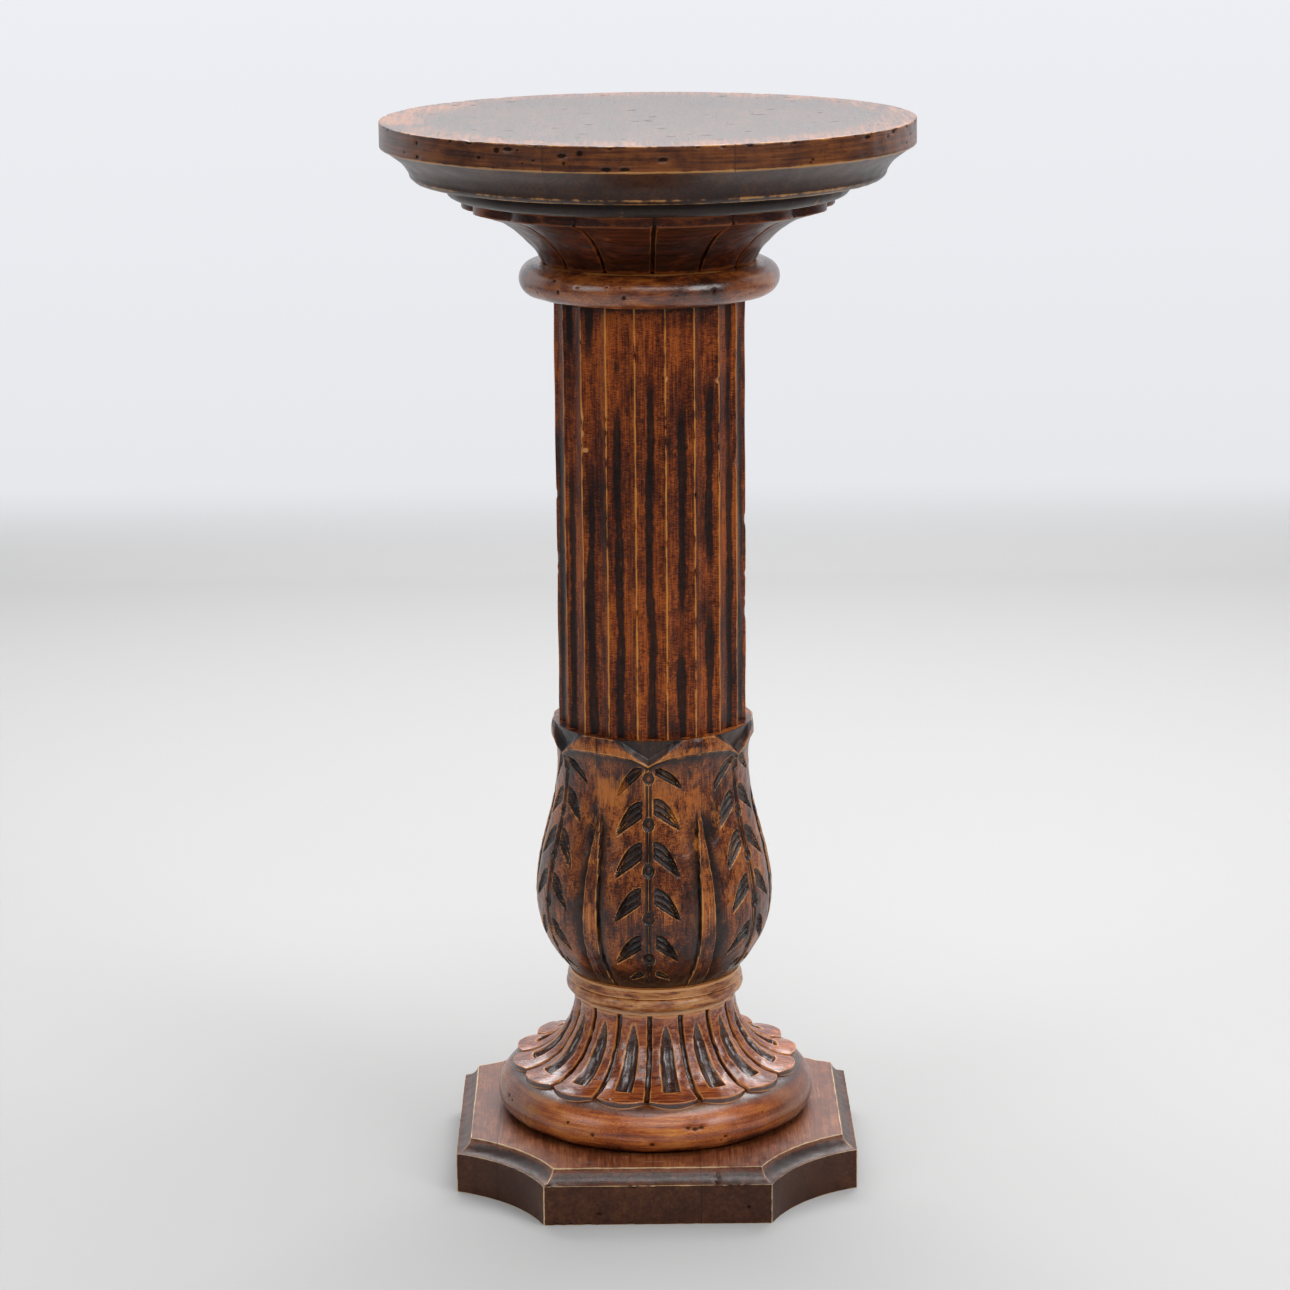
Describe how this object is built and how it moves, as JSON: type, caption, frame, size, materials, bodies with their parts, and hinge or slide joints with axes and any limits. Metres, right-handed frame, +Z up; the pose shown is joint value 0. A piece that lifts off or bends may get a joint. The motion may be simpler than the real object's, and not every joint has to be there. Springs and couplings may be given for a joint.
{
  "type": "pedestal column stand",
  "caption": "Round-topped pedestal stand: a fluted column on a carved leaf bulb, with a petalled skirt, a ring base and a square plinth with scooped corners",
  "frame": {"origin": "on the column's axis, at the underside of the plinth", "axes": "+Z up along the column, -Y towards the viewer, a side of the plinth along X"},
  "size_m": [0.36, 0.36, 0.736],
  "materials": {
    "top_wood": "dark walnut stain, satin lacquer, worn lighter at the edges",
    "stem_wood": "walnut stain under a dark glaze, satin lacquer",
    "red_wood": "reddish walnut stain, dark glaze in the grooves, satin lacquer",
    "plinth_wood": "very dark stain, satin lacquer, arrises worn to pale wood",
    "dowel_wood": "bare",
    "screw_steel": "plain steel"
  },
  "bodies": {
    "root": {"plinth_board_left": "plinth_wood", "plinth_board_middle": "plinth_wood", "plinth_board_right": "plinth_wood", "plinth_screws": "screw_steel", "base_ring": "red_wood", "petal_skirt": "red_wood", "collar_ring": "red_wood", "bulb_board_left": "stem_wood", "bulb_board_middle": "stem_wood", "bulb_board_right": "stem_wood", "shaft": "stem_wood", "neck_ring": "stem_wood", "capital": "red_wood", "top_board_left": "top_wood", "top_board_middle": "top_wood", "top_board_right": "top_wood", "lower_dowel": "dowel_wood", "middle_dowel": "dowel_wood", "upper_dowel": "dowel_wood"}
  },
  "joints": []
}
